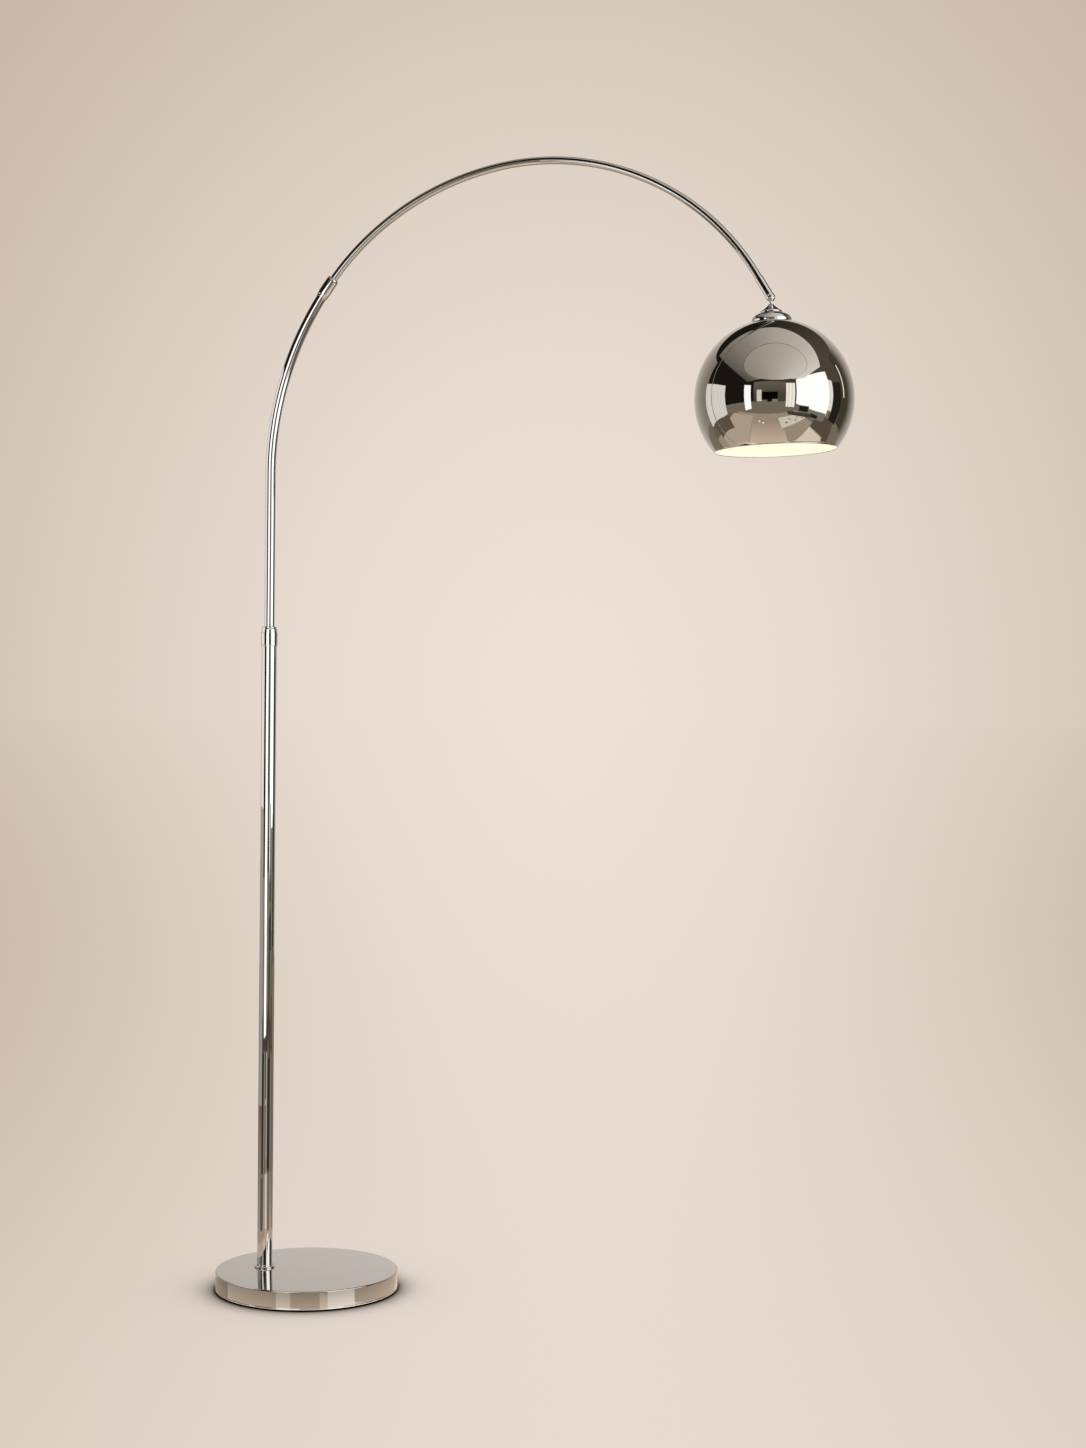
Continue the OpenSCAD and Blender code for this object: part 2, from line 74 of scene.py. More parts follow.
class Nodes:
    """A short way to write a node tree."""

    def __init__(self, name):
        self.mat = bpy.data.materials.new(name)
        self.mat.use_nodes = True
        self.tree = self.mat.node_tree
        self.tree.nodes.clear()
        self.out = self.tree.nodes.new("ShaderNodeOutputMaterial")

    def add(self, kind, inputs=None, **settings):
        """A new node; an input takes a value or another node's socket."""
        node = self.tree.nodes.new("ShaderNode" + kind)
        for key, value in settings.items():
            setattr(node, key, value)
        for key, value in (inputs or {}).items():
            if isinstance(value, bpy.types.NodeSocket):
                self.tree.links.new(value, node.inputs[key])
            else:
                node.inputs[key].default_value = value
        return node

    def coords(self, scale=(1, 1, 1)):
        place = self.add("TexCoord").outputs["Object"]
        return self.add("Mapping", {"Vector": place, "Scale": scale}).outputs[0]

    def noise(self, scale, stretch=(1, 1, 1), detail=3, rough=0.5):
        return self.add("TexNoise", {"Vector": self.coords(stretch), "Scale": scale,
                                     "Detail": detail, "Roughness": rough}).outputs["Fac"]

    def remap(self, value, lo, hi, from_lo=0.3, from_hi=0.7):
        return self.add("MapRange", {"Value": value, "From Min": from_lo, "From Max": from_hi,
                                     "To Min": lo, "To Max": hi}).outputs[0]

    def blend(self, factor, a, b):
        """Colour a where the factor is 0 and colour b where it is 1."""
        return self.add("Mix", {0: factor, 6: (*a, 1), 7: (*b, 1)}, data_type="RGBA").outputs[2]

    def fade(self, start_colour, end_colour, axis, start, end):
        """A colour that changes along an axis of the scene between two places on it."""
        place = self.add("SeparateXYZ", {0: self.coords()}).outputs[axis]
        return self.blend(self.remap(place, 0, 1, start, end), start_colour, end_colour)

    def stops(self, value, points):
        """Colours at places between 0 and 1, blended between them."""
        ramp = self.add("ValToRGB", {0: value})
        elements = ramp.color_ramp.elements
        while len(elements) < len(points):
            elements.new(0.5)
        for element, (place, colour) in zip(elements, points):
            element.position = place
            element.color = (*colour, 1)
        return ramp.outputs["Color"]

    def math(self, operation, a, b):
        return self.add("Math", {0: a, 1: b}, operation=operation).outputs[0]

    def bump(self, height, depth, strength=1.0):
        return self.add("Bump", {"Height": height, "Distance": depth,
                                 "Strength": strength}).outputs[0]

    def send(self, shader):
        """Sends a shader to the output and returns the finished material."""
        self.tree.links.new(shader.outputs[0], self.out.inputs[0])
        return self.mat

    def mix_out(self, factor, first, second):
        """Sends out first where the factor is 0 and second where it is 1."""
        mix = self.add("MixShader", {0: factor, 1: first.outputs[0], 2: second.outputs[0]})
        return self.send(mix)

    def surface(self, **inputs):
        """Sends out a Principled shader; Base_Color stands for its input Base Color."""
        return self.send(self.add("BsdfPrincipled", {k.replace("_", " "): v for k, v in inputs.items()}))


def mirror_metal(name, light, dark, smear=(1, 1, 1), rough=(0.012, 0.05)):
    """Plated metal: even colour drift, faint smears and hair scratches."""
    n = Nodes(name)
    drift = n.noise(9, detail=2)
    film = n.noise(55, smear, detail=5, rough=0.6)
    hairs = n.noise(900, (smear[0], smear[1], smear[2] * 0.08 + 0.02), detail=2)
    roughness = n.math("ADD", n.remap(film, rough[0], rough[1]),
                       n.remap(hairs, 0, 0.02, 0.62, 0.75))
    ripple = n.noise(38, detail=1)
    return n.surface(Base_Color=n.blend(drift, light, dark), Metallic=1.0, Roughness=roughness,
                     Normal=n.bump(ripple, 0.00002, 0.35))


def plain_metal(name, light, dark, rough=(0.28, 0.46)):
    """Bare or zinc-plated metal with fine machining lines."""
    n = Nodes(name)
    tone = n.noise(70, detail=4)
    lines = n.noise(420, (1, 1, 8), detail=3)
    return n.surface(Base_Color=n.blend(tone, light, dark), Metallic=1.0,
                     Roughness=n.remap(lines, *rough), Normal=n.bump(lines, 0.00004, 0.5))


def moulded(name, light, dark, rough=(0.35, 0.5), grain_scale=700, depth=0.00005, **more):
    """Plastic, rubber, glaze or cast metal with a fine grain."""
    n = Nodes(name)
    tone = n.noise(60, detail=3)
    grain = n.noise(grain_scale, detail=3)
    return n.surface(Base_Color=n.blend(tone, light, dark), Roughness=n.remap(grain, *rough),
                     Normal=n.bump(grain, depth, 0.6), **more)


# Drawn tube is smoother than the turned pieces, and its smears run along it
DRAWN = {"smear": (1, 1, 0.15), "rough": (0.008, 0.03)}

chrome = mirror_metal("chrome", (0.62, 0.615, 0.60), (0.575, 0.57, 0.555))
tube_chrome = mirror_metal("tube_chrome", (0.61, 0.605, 0.59), (0.565, 0.56, 0.545), **DRAWN)
# Same plating as tube_chrome, made darker: painted shade for the darker reflections along the upper arm
arc_chrome_painted_dark = mirror_metal("arc_chrome_painted_dark", (0.56, 0.555, 0.54), (0.515, 0.51, 0.495), **DRAWN)
shade_chrome = mirror_metal("shade_chrome", (0.52, 0.505, 0.48), (0.49, 0.475, 0.45))


def base_metal():
    """Chrome with the faint rings that polishing leaves on a turned disc."""
    n = Nodes("base_chrome")
    place = n.coords()
    rings = n.add("TexWave", {"Vector": place, "Scale": 160.0, "Distortion": 1.2, "Detail": 2.0},
                  wave_type="RINGS", rings_direction="Z").outputs["Fac"]
    film = n.noise(26, detail=5, rough=0.6)
    drift = n.noise(7, detail=2)
    roughness = n.math("ADD", n.remap(film, 0.03, 0.075), n.remap(rings, 0, 0.02, 0, 1))
    return n.surface(Base_Color=n.blend(drift, (0.60, 0.60, 0.60), (0.565, 0.565, 0.565)),
                     Metallic=1.0, Roughness=roughness, Normal=n.bump(film, 0.00001, 0.3))


base_chrome = base_metal()
cast_iron = moulded("cast_iron", (0.055, 0.055, 0.06), (0.03, 0.03, 0.033), (0.5, 0.8), 260, 0.0004,
                    Metallic=0.4)
rubber = moulded("rubber", (0.020, 0.020, 0.021), (0.012, 0.012, 0.012), (0.6, 0.85), 900, 0.0002)
zinc = plain_metal("zinc", (0.62, 0.63, 0.65), (0.50, 0.51, 0.54))
dark_steel = plain_metal("dark_steel", (0.10, 0.10, 0.10), (0.06, 0.06, 0.06), (0.3, 0.5))
nylon = moulded("nylon", (0.80, 0.78, 0.72), (0.74, 0.72, 0.66), (0.38, 0.55),
                Subsurface_Weight=0.1)
block_plastic = moulded("block_plastic", (0.72, 0.69, 0.58), (0.66, 0.63, 0.53))
sheath = moulded("sheath", (0.70, 0.69, 0.65), (0.62, 0.61, 0.57), (0.3, 0.45))
brass = plain_metal("brass", (0.80, 0.60, 0.28), (0.70, 0.50, 0.22), (0.2, 0.35))
holder_black = moulded("holder_black", (0.016, 0.016, 0.017), (0.010, 0.010, 0.011), (0.18, 0.32),
                       350, 0.00006)
ceramic = moulded("ceramic", (0.84, 0.83, 0.79), (0.79, 0.78, 0.74), (0.12, 0.25), 200, 0.00008)
bulb_black = moulded("bulb_black", (0.02, 0.02, 0.022), (0.012, 0.012, 0.013), (0.1, 0.2))
bulb_white = moulded("bulb_white", (0.86, 0.86, 0.83), (0.81, 0.81, 0.78), (0.35, 0.5))
bulb_nickel = plain_metal("bulb_nickel", (0.72, 0.72, 0.73), (0.60, 0.60, 0.62), (0.16, 0.3))


def glowing(name, colour, glow, strength, rough, drift_scale):
    """A warm surface with an emission glow that drifts a little over it; the bulb uses it as its own light,
    the shade's enamel as painted light from the bulb.
    """
    n = Nodes(name)
    tone = n.noise(drift_scale, detail=3)
    grain = n.noise(600, detail=2)
    return n.surface(Base_Color=n.blend(tone, colour, [c * 0.96 for c in colour]),
                     Roughness=n.remap(grain, *rough), Normal=n.bump(grain, 0.00004, 0.4),
                     Emission_Color=n.blend(tone, glow, [c * g for c, g in zip(glow, (1, 0.985, 0.93))]),
                     Emission_Strength=strength)


# The shade's white enamel inside is given an emission: painted light from the bulb
enamel_painted_glow = glowing("enamel_painted_glow", (0.80, 0.80, 0.77), (1.0, 0.95, 0.75), 0.23, (0.4, 0.55), 14)
opal = glowing("opal", (0.95, 0.93, 0.88), (1.0, 0.98, 0.89), 3.1, (0.2, 0.3), 30)

CAD_FINISH = {
    "base_plate": zinc, "base_plate_screws": zinc, "base_weight": cast_iron,
    "terminal_block": block_plastic, "foot_stud": zinc, "foot_nut": zinc, "foot_washer": zinc,
    "foot_insert": zinc, "swivel_bush_lower": nylon, "swivel_bush_upper": nylon,
    "lead_pole": sheath, "thrust_collar": zinc, "slide_bush": nylon, "lead_lower_arm": sheath,
    "tail_glide": nylon, "disc_spring": zinc, "ball_seat": nylon, "lead_upper_arm": sheath,
    "saucer_spacer": zinc, "nipple": brass, "shade_washer": zinc, "lock_nut": brass,
    "holder_cap": holder_black, "holder_insert": ceramic, "holder_contact": brass,
    "bulb_contact": brass, "bulb_insulator": bulb_black, "bulb_screw_cap": bulb_nickel,
    "lead_shade": sheath,
}
for node_name, finish in CAD_FINISH.items():
    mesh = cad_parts[node_name].data
    mesh.materials.clear()
    mesh.materials.append(finish)


# ------------------------------------------------------------ mesh tools

def fillet(points, steps=5):
    """Rounds a line of (r, z) or (r, z, radius) points at each given radius."""
    line = []
    last = len(points) - 1
    for i, p in enumerate(points):
        here = Vector(p[:2])
        radius = p[2] if len(p) > 2 else 0
        if radius == 0 or i in (0, last):
            line.append(here)
            continue
        back, on = Vector(points[i - 1][:2]) - here, Vector(points[i + 1][:2]) - here
        half = back.angle(on) / 2
        # Less than half of each side, so that two roundings on one side never meet
        cut = min(radius / math.tan(half), back.length * 0.49, on.length * 0.49)
        start, end = here + back.normalized() * cut, here + on.normalized() * cut
        centre = here + (back.normalized() + on.normalized()).normalized() * (cut / math.cos(half))
        for k in range(steps + 1):
            way = (start - centre).lerp(end - centre, k / steps).normalized()
            line.append(centre + way * (start - centre).length)
    return line


def arc(cx, cz, radius, a0, a1, steps):
    """Points on a circle, its angle in degrees from +r towards +z."""
    turns = [math.radians(a0 + (a1 - a0) * k / steps) for k in range(steps + 1)]
    return [(cx + radius * math.cos(a), cz + radius * math.sin(a)) for a in turns]


def new_piece(name, bm, body, materials, replaces, sharp=40):
    bmesh.ops.remove_doubles(bm, verts=bm.verts, dist=1e-7)
    bmesh.ops.recalc_face_normals(bm, faces=bm.faces)
    mesh = bpy.data.meshes.new(name)
    bm.to_mesh(mesh)
    bm.free()
    for m in materials:
        mesh.materials.append(m)
    mesh.shade_smooth()
    mesh.set_sharp_from_angle(angle=math.radians(sharp))
    obj = bpy.data.objects.new(name, mesh)
    scene.collection.objects.link(obj)
    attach(obj, body)
    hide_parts(*replaces)


def skin(bm, rings, closed_path=False, mark=None):
    """Quads between rings of vertices; mark(ring number) gives a material number."""
    for i in range(len(rings) - (0 if closed_path else 1)):
        a, b = rings[i], rings[(i + 1) % len(rings)]
        count = len(a)
        for k in range(count):
            corners = (a[k], a[(k + 1) % count], b[(k + 1) % count], b[k])
            if len({v.co.to_tuple(9) for v in corners}) < 3:
                continue
            face = bm.faces.new(corners)
            if mark:
                face.material_index = mark(i)


def around_ring(place, radius, z, count):
    """Points in metres round place's own Z axis, from a radius and height in millimetres."""
    turns = [2 * math.pi * k / count for k in range(count)]
    return [place @ (Vector((radius * math.cos(a), radius * math.sin(a), z)) * MM) for a in turns]


def turned(bm, section, place, around=128, closed=True, mark=None):
    """Turns a section of (r, z) in millimetres about place's own Z axis."""
    rings = [[bm.verts.new(v) for v in around_ring(place, p[0], p[1], around)] for p in section]
    skin(bm, rings, closed, mark)


def turned_piece(name, section, place, body, material, replaces, around=128, sharp=40):
    """A whole piece turned from one section."""
    bm = bmesh.new()
    turned(bm, section, place, around)
    new_piece(name, bm, body, [material], replaces, sharp)


# ------------------------------------------------- the lamp's own layout

# Millimetres and degrees, the same as the CAD model's
BASE_R, BASE_H = 150, 32
COVER_T = 1.2
POLE_X = -72.5
POLE_R, POLE_BORE, POLE_TOP = 12.5, 11, 1086
SLIP = 0.06  # a collar's bore past the tube in it
BEND_Z = 1349
BENDS = ((538, 37), (454, 42), (399, 69.5))  # radius and angle of each bend of the arm
LOWER_R, LOWER_BORE = 8.5, 7.3
LOWER_START_Z, LOWER_END_ANGLE = 918, 35.9
UPPER_R, UPPER_BORE = 6.25, 5.25
TAIL_ANGLE, TUBE_END_Z = 6, -13  # hidden start on the first bend, and end before the ball
END_STRAIGHT = 46
LEAN = 2.4
SHADE_DROP = 161.6  # from the ball down to the globe's centre
SHADE_R, SHADE_T = 127.5, 1.2
MOUTH_DROP = 80.58  # from the globe's centre down to its mouth


def arm_points(first_angle, end_z, step=0.75):
    """Centre points and directions along the arm, in millimetres."""
    out = []
    turned_by = 0
    cx, cz = POLE_X + BENDS[0][0], BEND_Z
    start = first_angle
    for number, (radius, angle) in enumerate(BENDS):
        count = max(2, round((angle - start) / step))
        for k in range(count + 1):
            a = math.radians(turned_by + start + (angle - start) * k / count)
            if k or not out:
                out.append((Vector((cx - radius * math.cos(a), 0, cz + radius * math.sin(a))),
                            Vector((math.sin(a), 0, math.cos(a)))))
        turned_by += angle
        start = 0
        if number + 1 < len(BENDS):
            change = BENDS[number + 1][0] - radius
            a = math.radians(turned_by)
            cx += change * math.cos(a)
            cz -= change * math.sin(a)
    last, way = out[-1]
    ball = last + way * END_STRAIGHT
    for share in (0.5, 1.0):
        out.append((last + way * (END_STRAIGHT + end_z) * share, way))
    return out, ball, way


def frame_at(point, way):
    """A frame in metres whose Z runs along way and whose Y is the lamp's Y."""
    side = Vector((0, 1, 0))
    turn = Matrix((side.cross(way), side, way)).transposed().to_4x4()
    return Matrix.Translation(point * MM) @ turn


def on_bend(angle):
    """Centre point and direction at an angle along the first bend."""
    a = math.radians(angle)
    radius = BENDS[0][0]
    centre = Vector((POLE_X + radius, 0, BEND_Z))
    way = Vector((math.sin(a), 0, math.cos(a)))
    return centre + Vector((-math.cos(a), 0, math.sin(a))) * radius, way


def swept(bm, stations, around):
    """A skin through circles: stations are (point, direction, radius)."""
    rings = [[bm.verts.new(v) for v in around_ring(frame_at(point, way), radius, 0, around)]
             for point, way, radius in stations]
    skin(bm, rings, closed_path=True)


ARM_LINE, BALL, END_WAY = arm_points(TAIL_ANGLE, TUBE_END_Z)
AT_POLE = Matrix.Translation((POLE_X * MM, 0, 0))
AT_END = frame_at(BALL, END_WAY)
AT_SHADE = Matrix.Translation(BALL * MM) @ Matrix.Rotation(math.radians(-LEAN), 4, "Y")
AT_BASE = Matrix.Identity(4)


# ------------------------------------------------------------------ base

# Spun cover: flat top, rounded shoulder, straight side and a thin rolled bead at the bottom
cover = fillet([
    (0, BASE_H - COVER_T), (148.6, BASE_H - COVER_T, 1.0), (148.6, 3.4), (148.8, 2.5, 0.2), (149.6, 2.4, 0.5),
    (150.5, 2.9, 0.6), (150.55, 3.9, 0.6), (BASE_R, 4.75, 0.25), (BASE_R, BASE_H, 1.9), (0, BASE_H)], 8)
turned_piece("cover_shell", cover, AT_BASE, "stand", base_chrome, ["base_cover"], 360, 30)

pad = fillet([(0, 0.0), (143.2, 0.0, 0.7), (143.5, 2.3, 0.4), (0, 2.3)], 4)
turned_piece("pad_foam", pad, AT_BASE, "stand", rubber, ["floor_pad"], 256)

# Inlet ring on the side away from the arm, its axis level
ring_place = Matrix.Translation((-0.151, 0, 0.014)) @ Matrix.Rotation(math.radians(90), 4, "Y")
grommet = fillet([(3.6, 0, 0.3), (6.9, 0, 0.8), (7.5, 0.9, 0.3), (5.5, 1.0, 0.15), (5.5, 2.6),
                  (7, 2.6, 0.2), (7, 4, 0.3), (3.6, 4, 0.3), (3.6, 2)], 4)
turned_piece("inlet_ring", grommet, ring_place, "stand", rubber, ["cord_grommet"], 96)

# Low ring at the pole's foot: a rim, a dish and a short neck
POLE_SLIP_R = POLE_R + SLIP
collar = fillet([
    (POLE_SLIP_R, BASE_H), (16.7, BASE_H, 0.15), (17, 32.5, 0.3), (17, 34.3, 0.5), (16.4, 34.8, 0.45),
    (15.5, 34.1, 0.8), (14.2, 33.7, 0.9), (13.4, 34.5, 0.8), (13.0, 36.4, 0.35), (POLE_SLIP_R, 37, 0.1),
    (POLE_SLIP_R, 33)], 6)
turned_piece("foot_ring", collar, AT_POLE, "stand", chrome, ["foot_collar"], 160)

POLE_FOOT = BASE_H + 0.2
pole = fillet([(POLE_BORE, POLE_FOOT), (POLE_R, POLE_FOOT), (POLE_R, 400), (POLE_R, 760),
               (POLE_R, POLE_TOP, 0.3), (POLE_BORE, POLE_TOP, 0.3)], 3)
turned_piece("pole_tube", pole, AT_POLE, "stand", tube_chrome, ["pole"], 160)

# Collar on the pole's top, with a dome that closes in on the thinner tube
DOME_BORE, DOME_FOOT, DOME_RISE = 8.85, 1087.1, 9.4
SHOULDER_R, SHOULDER_RISE = 4.3, 4.4
lower_sleeve = fillet(
    [(POLE_SLIP_R, 1064, 0.2), (13.45, 1064, 0.45), (13.45, 1065.1, 0.2), (13.7, 1065.5, 0.3),
     (13.7, 1086.4, 0.35), (13.2, DOME_FOOT, 0.2)]
    + arc(DOME_BORE, 1087.2, SHOULDER_R, 0, 88, 10)[1:]
    + [(DOME_BORE, 1096.4, 0.15), (DOME_BORE, 1094.2), (11.6, 1091), (POLE_R, 1087), (POLE_SLIP_R, 1070)], 6)


def dome_height(r, z):
    """Stretches the round shoulder upwards into the dome."""
    on_shoulder = r > DOME_BORE + 1e-6 and DOME_FOOT < z < DOME_FOOT + SHOULDER_RISE + 0.1
    return r, DOME_FOOT + (z - DOME_FOOT) * DOME_RISE / SHOULDER_RISE if on_shoulder else z


turned_piece("pole_cap", [dome_height(*p) for p in lower_sleeve], AT_POLE, "stand", chrome,
             ["lower_ferrule"], 160, 35)


# ------------------------------------------------------------- lower arm

def tube_skin(stations, outer, inner):
    """Outside forwards, then inside back, as one closed skin."""
    chamfer = 0.25
    first, last = stations[0], stations[-1]
    out = [(first[0], first[1], outer - chamfer)]
    out += [(p, w, outer) for p, w in stations]
    out += [(last[0], last[1], outer - chamfer)]
    out += [(p, w, inner) for p, w in reversed(stations)]
    return out


LOWER_STEPS = 60
straight = (LOWER_START_Z, 1060, 1200, 1300, BEND_Z)
lower_line = [(Vector((POLE_X, 0, z)), Vector((0, 0, 1))) for z in straight]
lower_line += [on_bend(LOWER_END_ANGLE * k / LOWER_STEPS) for k in range(1, LOWER_STEPS + 1)]
bm = bmesh.new()
swept(bm, tube_skin(lower_line, LOWER_R, LOWER_BORE), 96)
new_piece("lower_tube", bm, "lower_arm", [tube_chrome], ["lower_arm_tube"], 30)

# Barrel along the curve, as (angle on the first bend, radius): a small collar, a swell, a rounded end
SWELL_START, SWELL_ANGLE, SWELL_STEPS = 33.03, 2.97, 14
SWELL_R, SWELL_RISE = 9.62, 0.58
BARREL_BORE = 6.6
barrel = [(32.62, LOWER_R + SLIP), (32.61, 8.9), (32.64, 9.2), (32.7, 9.3), (32.95, 9.34), (32.98, 9.42),
          (SWELL_START, SWELL_R)]
for k in range(1, SWELL_STEPS + 1):
    share = k / SWELL_STEPS
    swell = math.sin(math.pi * (0.15 + 0.62 * share)) ** 0.8
    barrel.append((SWELL_START + SWELL_ANGLE * share, SWELL_R + SWELL_RISE * swell))
barrel += [(36.12, 10.0), (36.25, 9.75), (36.36, 9.35), (36.43, 8.8), (36.48, 8.1), (36.5, 7.3),
           (36.5, 6.75), (36.44, BARREL_BORE), (36.2, BARREL_BORE), (36.0, BARREL_BORE),
           (35.95, 8.52), (34, 8.54)]
bm = bmesh.new()
swept(bm, [(*on_bend(a), r) for a, r in barrel], 128)
new_piece("slide_barrel", bm, "lower_arm", [chrome], ["upper_ferrule"], 35)


# ------------------------------------------------------------- upper arm

bm = bmesh.new()
swept(bm, tube_skin(ARM_LINE, UPPER_R, UPPER_BORE), 96)
new_piece("upper_tube", bm, "upper_arm", [arc_chrome_painted_dark], ["upper_arm_tube"], 30)

# Socket sleeve on the tube's end, with a rolled lip round the ball
SLEEVE_BORE, SLEEVE_START = UPPER_R + 0.02, -38
sleeve = fillet(
    [(SLEEVE_BORE, SLEEVE_START, 0.1), (6.85, SLEEVE_START, 0.3), (7.1, -37.5, 0.3), (7.1, -3.4, 1.0)]
    + arc(5.55, -0.7, 2.2, -20, 75, 12)
    + [(6.56, 1.5, 0.1), (6.68, 0.5), (6.7, -1), (6.3, -2.6), (SLEEVE_BORE, TUBE_END_Z)], 5)
turned_piece("socket_sleeve", sleeve, AT_END, "upper_arm", chrome, ["end_sleeve"], 128, 35)


# ------------------------------------------------------------ shade head

# Ball, neck and boss in one turned piece, bored for the lead
BALL_R, BALL_BORE, NECK_R = 6.6, 2.4, 3.3
BOSS_R, BOSS_TOP, BOSS_END = 6.3, -14.8, -22.1
NIPPLE_R = 5.05
ball = fillet([(BALL_BORE, 6.15)] + arc(0, 0, BALL_R, 68, -57, 24)[1:] + [
    (NECK_R, -6.6, 0.8), (NECK_R, BOSS_TOP, 0.2), (BOSS_R, BOSS_TOP, 0.3), (BOSS_R, BOSS_END, 0.3),
    (NIPPLE_R, BOSS_END), (NIPPLE_R, -17), (BALL_BORE, -16.9), (BALL_BORE, 0)], 5)
turned_piece("ball_stem", ball, AT_SHADE, "shade_head", chrome, ["swivel_ball"], 128, 35)

# Flared cap under the neck, a thin shell
bell = fillet([
    (16.8, -23.4, 0.2), (17.65, -23.4, 0.35), (17.7, -21.6, 1.2), (16.6, -20.4, 2.0), (11.3, -16.6, 16),
    (5.7, -12.3, 4), (4.1, -10.2, 0.4), (3.38, -10.2, 0.2), (3.38, -11.4), (4.8, -13.4, 1), (15.5, -21.4, 1),
    (16.7, -22.6)], 7)
turned_piece("neck_bell", bell, AT_SHADE, "shade_head", chrome, ["bell_cap"], 160, 35)


def make_screw():
    """Small screw in the bell's front, with a hexagonal recess."""
    length, radius, rim_r, count = 7.6, 1.5, 1.0, 48
    across_flats, recess = 1.5, 1.6
    place = (AT_SHADE @ Matrix.Translation((0, -6.4 * MM, -18.8 * MM))
             @ Matrix.Rotation(math.radians(90), 4, "X"))
    bm = bmesh.new()
    head = fillet([(0, 0), (radius, 0, 0.1), (radius, length, 0.25), (rim_r, length, 0.05)], 3)
    turned(bm, head, place, count, closed=False)
    rim = [bm.verts.new(v) for v in around_ring(place, rim_r, length, count)]

    def hexagon(z):
        ring = []
        for k in range(count):
            a = 2 * math.pi * k / count
            r = across_flats / 2 / math.cos((a + math.pi / 6) % (math.pi / 3) - math.pi / 6)
            ring.append(bm.verts.new(place @ (Vector((r * math.cos(a), r * math.sin(a), z)) * MM)))
        return ring

    edge, deep = hexagon(length - 0.05), hexagon(length - recess)
    skin(bm, [rim, edge, deep])
    bm.faces.new(deep)
    new_piece("bell_grub", bm, "shade_head", [dark_steel], ["bell_screw"], 30)


make_screw()

# Dished cover on the globe's crown
SAUCER_R, SAUCER_TOP, SAUCER_T, SAUCER_BORE = 32.4, -22.2, 1.0, 5.06
RIM_Z = -SHADE_DROP + math.sqrt(SHADE_R ** 2 - SAUCER_R ** 2)


def saucer_line(inset, steps=26):
    """The cover's outer curve, or the same curve inside it, from the rim to the bore."""
    foot = RIM_Z + 0.35
    out = []
    for k in range(steps + 1):
        a = math.radians(90 * k / steps)
        r = (SAUCER_R - inset) * math.cos(a)
        if r > SAUCER_BORE + 0.04:
            out.append((r, foot + (SAUCER_TOP - inset - foot) * math.sin(a) ** 0.7))
    return out + [(SAUCER_BORE, SAUCER_TOP - inset)]


under = [p for p in saucer_line(SAUCER_T) if math.hypot(p[0], p[1] + SHADE_DROP) > SHADE_R + 0.1]
saucer = [(SAUCER_R - 0.9, RIM_Z + 0.4), (SAUCER_R - 0.25, RIM_Z + 0.02)]
saucer += saucer_line(0)[1:] + list(reversed(under))
turned_piece("crown_dish", saucer, AT_SHADE, "shade_head", chrome, ["shade_saucer"], 200, 35)


def make_shade():
    """Mirror globe: plated outside, rolled edge, white enamel inside with a painted glow from the bulb."""
    crown_angle = 87.7
    mouth = math.degrees(math.asin(MOUTH_DROP / SHADE_R))
    outer = arc(0, -SHADE_DROP, SHADE_R, crown_angle, -mouth + 0.9, 150)
    lip_r = math.sqrt(SHADE_R ** 2 - MOUTH_DROP ** 2) - 1
    lip = arc(lip_r, -SHADE_DROP - MOUTH_DROP, 1.2, 20, -190, 14)
    inner = arc(0, -SHADE_DROP, SHADE_R - SHADE_T, -mouth + 1.1, crown_angle, 120)
    enamel_start = len(outer) + len(lip) - 4
    bm = bmesh.new()
    turned(bm, outer + lip + inner, AT_SHADE, 256, mark=lambda i: 0 if i < enamel_start else 1)
    new_piece("globe_shade", bm, "shade_head", [shade_chrome, enamel_painted_glow], ["shade"], 30)


make_shade()

# Lampholder skirt with four grip rings
SHELL_Z, SHELL_H = -56.42, 34
SHELL_R, SHELL_BORE, GRIP_R = 19.5, 17.4, 20.2
GRIP_DROP, GRIP_PITCH = 6, 7
grip = [(SHELL_BORE, SHELL_Z, 0.2), (SHELL_R, SHELL_Z, 0.4)]
for k in range(4):
    z = SHELL_Z - GRIP_DROP - GRIP_PITCH * k
    grip += [(SHELL_R, z + 2.2, 0.3), (GRIP_R, z + 1.8, 0.3), (GRIP_R, z + 0.2, 0.3), (SHELL_R, z - 0.2, 0.3)]
grip += [(SHELL_R, SHELL_Z - SHELL_H, 0.5), (SHELL_BORE, SHELL_Z - SHELL_H, 0.5)]
turned_piece("holder_skirt", fillet(grip, 4), AT_SHADE, "shade_head", holder_black, ["holder_shell"],
             128)

# Bulb: plastic collar and opal globe, hung from the bulb's contact end
BULB_Z = -68.32
COLLAR_TOP, COLLAR_END = BULB_Z - 24, BULB_Z - 53
collar_line = fillet([
    (0, COLLAR_TOP), (11.5, COLLAR_TOP), (11.5, BULB_Z - 27.1), (14, BULB_Z - 27.1, 0.6),
    (15.5, BULB_Z - 32, 4), (20.4, COLLAR_END, 0.4), (18.6, COLLAR_END, 0.3), (10, BULB_Z - 30),
    (0, BULB_Z - 30)], 5)
turned_piece("bulb_body", collar_line, AT_SHADE, "shade_head", bulb_white, ["bulb_collar"],
             128)

OPAL_R, OPAL_INNER_R, OPAL_Z = 30, 28.8, BULB_Z - 76
OPAL_RISE = 22.9  # from the globe's centre up to where its collar starts
cut = math.degrees(math.asin(OPAL_RISE / OPAL_R))
globe = arc(0, OPAL_Z, OPAL_R, cut, -90, 60) + arc(0, OPAL_Z, OPAL_INNER_R, -90, cut, 50)
turned_piece("bulb_opal", globe, AT_SHADE, "shade_head", opal, ["bulb_globe"], 128)


# ----------------------------------------------------------- the studio

def emitter(name, colour, low=None, axis=2, start=0.0, end=1.0):
    """A plain glow, or one that fades from low to colour along an axis."""
    n = Nodes(name)
    tint = (*colour, 1) if low is None else n.fade(low, colour, axis, start, end)
    return n.send(n.add("Emission", {"Color": tint}))


